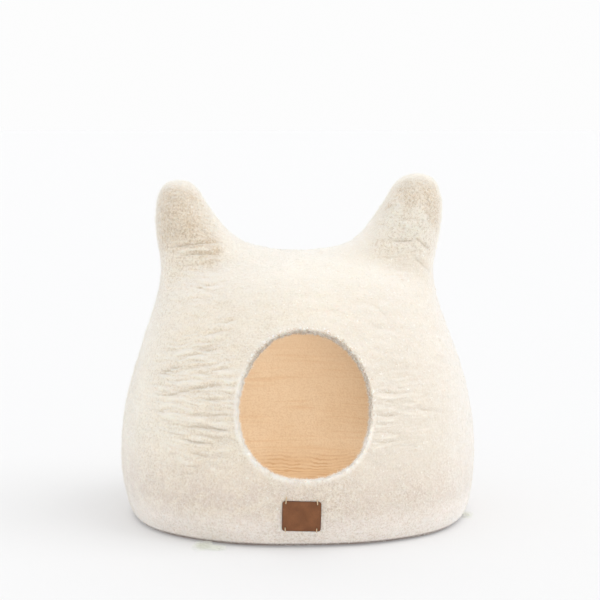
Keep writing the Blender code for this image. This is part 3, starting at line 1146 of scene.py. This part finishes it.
def patch_outline_inset(x, z):
    """Moves a point of the patch's square grid in, so that the corners are round."""
    limit_x = PATCH_WIDTH / 2 - PATCH_CORNER_RADIUS
    limit_z = PATCH_HEIGHT / 2 - PATCH_CORNER_RADIUS
    past_x, past_z = abs(x) - limit_x, abs(z) - limit_z
    if past_x <= 0 or past_z <= 0:
        return x, z
    reach = max(past_x, past_z)
    length = math.hypot(past_x, past_z)
    return (
        math.copysign(limit_x + past_x * reach / length, x),
        math.copysign(limit_z + past_z * reach / length, z),
    )


def on_wall(wall, x, z, height):
    """The place so far above the wall, at x and z from the patch's middle, all in millimetres."""
    turned_x = x * math.cos(PATCH_TILT) - z * math.sin(PATCH_TILT)
    turned_z = x * math.sin(PATCH_TILT) + z * math.cos(PATCH_TILT)
    start = Vector((PATCH_CENTRE_X + turned_x, -IN_FRONT, PATCH_CENTRE_Z + turned_z)) * MM
    place, normal, _, _ = wall.ray_cast(start, Vector((0, 1, 0)))
    return place + normal * height * MM


def hole_height(stitch):
    """How far a stitch's hole lies above the patch's middle."""
    return stitch["way"] * (PATCH_HEIGHT / 2 - stitch["hole_in"])


def patch_face(x, z):
    """The height of the leather's face at a point, and how dark it is there, from 0 to 1: burnished at the
    edges, painted shade in the stitch holes.
    """
    edge = min(PATCH_WIDTH / 2 - abs(x), PATCH_HEIGHT / 2 - abs(z))
    height = -0.7 * math.exp(-max(edge, 0.0) / 0.45)
    wear_and_hole_shade = 0.85 * math.exp(-max(edge, 0.0) / 0.8)
    height += 0.15 * noise.noise(Vector((x / 9.0, z / 9.0, 3.0)))
    for stitch in STITCHES:
        gap = math.hypot(x - stitch["x"], z - hole_height(stitch))
        height -= HOLE_DEPTH * math.exp(-(gap / HOLE_RADIUS) ** 2) + 0.25 * math.exp(-(gap / 3.0) ** 2)
        # painted shade in the stitch hole
        wear_and_hole_shade = max(wear_and_hole_shade, math.exp(-(gap / (HOLE_RADIUS * 1.2)) ** 2))
    return height, wear_and_hole_shade


def make_patch(wall, material):
    """The leather: a face with rounded, burnished edges over a flat back."""
    leather = bmesh.new()
    bmesh.ops.create_grid(
        leather,
        x_segments=round(PATCH_WIDTH / PATCH_CELL),
        y_segments=round(PATCH_HEIGHT / PATCH_CELL),
        size=0.5,
    )
    wear_and_hole_shade_layer = leather.verts.layers.float.new("wear_and_hole_shade")
    for vertex in leather.verts:
        x, z = patch_outline_inset(vertex.co.x * PATCH_WIDTH, vertex.co.y * PATCH_HEIGHT)
        height, vertex[wear_and_hole_shade_layer] = patch_face(x, z)
        vertex.co = on_wall(wall, x, z, SEAT_GAP + PATCH_THICKNESS + height)
    rim = [edge for edge in leather.edges if edge.is_boundary]
    skirt = bmesh.ops.extrude_edge_only(leather, edges=rim)["geom"]
    for vertex in (part for part in skirt if isinstance(part, bmesh.types.BMVert)):
        vertex.co.y = wall.find_nearest(vertex.co)[0].y
        vertex[wear_and_hole_shade_layer] = 1.0
    bmesh.ops.recalc_face_normals(leather, faces=leather.faces)
    mesh = finished_mesh(leather, "leather_patch")
    mesh.materials.append(material)
    mesh.shade_smooth()
    return place_piece("leather_patch", mesh, "leather", "patch")


def make_thread(wall, stitch, material, name):
    """A stitch: two twisted strands, out of the hole and over the patch's edge into the felt."""
    last = THREAD_POINTS - 1
    face = PATCH_THICKNESS + SEAT_GAP
    path = []
    for k in range(THREAD_POINTS):
        share = k / last
        reach = share * (stitch["hole_in"] + stitch["beyond"])
        over = reach - stitch["hole_in"]
        seat = face if over < 0.4 else max(0.2, face * (1.0 - over / 1.6))
        sunk = {0: 0.9, last: 1.0}.get(k, 0.0)
        height = seat + 0.25 + 0.35 * math.sin(math.pi * share) - sunk
        x = stitch["x"] + stitch["lean"] * share
        z = hole_height(stitch) + stitch["way"] * reach
        path.append(on_wall(wall, x, z, height))
    curve = bpy.data.curves.new(name, "CURVE")
    curve.dimensions = "3D"
    curve.bevel_depth = THREAD_RADIUS * MM
    curve.bevel_resolution = 1
    curve.use_fill_caps = True
    for strand in (0.0, math.pi):
        spline = curve.splines.new("POLY")
        spline.points.add(last)
        for k, place in enumerate(path):
            turn = strand + k * 0.9
            aside = Vector((math.cos(turn), 0.6 * math.sin(turn), 0.0)) * THREAD_RADIUS * 0.7 * MM
            spline.points[k].co = (*(place + aside), 1.0)
    mesh = baked_mesh(new_object(name, curve))
    mesh.materials.append(material)
    mesh.shade_smooth()
    place_piece(name, mesh, "leather")


# ---- floor, camera, light ----

def make_floor():
    floor = bmesh.new()
    bmesh.ops.create_grid(floor, x_segments=1, y_segments=1, size=60.0)
    mesh = finished_mesh(floor, "floor")
    paint = Paint("floor_white", 0.9)
    paint.set("Emission Color", (1.0, 1.0, 1.0, 1.0))
    paint.set("Emission Strength", FLOOR_GLOW)
    paint.colour = (0.588, 0.59, 0.595, 1.0)
    mesh.materials.append(paint.finish())
    new_object("floor", mesh)


def make_camera():
    camera = bpy.data.cameras.new("camera")
    camera.lens = LENS
    camera.clip_end = 200
    thing = new_object("camera", camera)
    thing.location = CAMERA_PLACE
    thing.rotation_euler = (math.radians(90 - CAMERA_PITCH), 0, 0)
    bpy.context.scene.camera = thing


def make_sun(name, azimuth, elevation, spread, strength):
    """Soft light from one side: azimuth 0 is from the front, 90 from the right."""
    light = bpy.data.lights.new(name, "SUN")
    light.energy = strength
    light.angle = math.radians(spread)
    thing = new_object(name, light)
    a, e = math.radians(azimuth), math.radians(elevation)
    towards = Vector((math.sin(a) * math.cos(e), -math.cos(a) * math.cos(e), math.sin(e)))
    thing.rotation_euler = towards.to_track_quat("Z", "Y").to_euler()


def make_world():
    """Even light from all round, in front of a backdrop a touch dimmer than that light."""
    world = bpy.data.worlds.new("studio")
    world.use_nodes = True
    nodes, links = world.node_tree.nodes, world.node_tree.links
    background = nodes["Background"]
    background.inputs["Color"].default_value = (1.0, 1.0, 1.0, 1.0)
    seen = nodes.new("ShaderNodeLightPath").outputs["Is Camera Ray"]
    level = nodes.new("ShaderNodeMapRange")
    level.inputs["To Min"].default_value = WORLD_LIGHT
    level.inputs["To Max"].default_value = BACKDROP
    links.new(seen, level.inputs["Value"])
    links.new(level.outputs["Result"], background.inputs["Strength"])
    bpy.context.scene.world = world


def make_glow():
    """The light that thick wool lets through: a soft lamp under the crown, turned to the back of the base."""
    light = bpy.data.lights.new("glow", "SPOT")
    light.energy = GLOW_WATTS
    light.shadow_soft_size = 0.05
    light.spot_size = math.radians(GLOW_CONE)
    light.spot_blend = 1.0
    thing = new_object("glow", light)
    thing.location = GLOW_PLACE
    thing.rotation_euler = (Vector(GLOW_PLACE) - Vector(GLOW_AIM)).to_track_quat("Z", "Y").to_euler()
    thing.visible_camera = False


def make_light():
    make_world()
    make_sun("key", azimuth=82, elevation=50, spread=50, strength=0.8)
    make_glow()
    bpy.context.scene.view_settings.view_transform = "Standard"


def main():
    make_camera()
    outer = outer_surface(GUIDE_LEVELS)
    guide = BVHTree.FromPolygons([v.co for v in outer.vertices], [p.vertices for p in outer.polygons])
    outside = outer_felt()
    felt = make_felt(guide, (outside, inner_felt(), outside))
    make_fuzz(felt, wool_fibre("felt_fuzz", (0.90, 0.865, 0.795), (0.92, 0.90, 0.86)), {
        # the ears' fuzz is paler than the body's: a painted highlight for the light that shines through it at
        # their edges
        "fuzz_ears": wool_fibre("ear_fuzz", (0.99, 0.955, 0.885), (1.0, 0.98, 0.93)),
        "fuzz_rim": rim_fibre(),
    })
    make_tufts(wool_fibre("loose_wool", (0.80, 0.82, 0.71), (0.92, 0.925, 0.86)))
    make_patch(guide, brown_leather())
    thread = sewing_thread()
    for number, stitch in enumerate(STITCHES, 1):
        make_thread(guide, stitch, thread, "stitch_%d" % number)
    make_floor()
    make_light()


main()
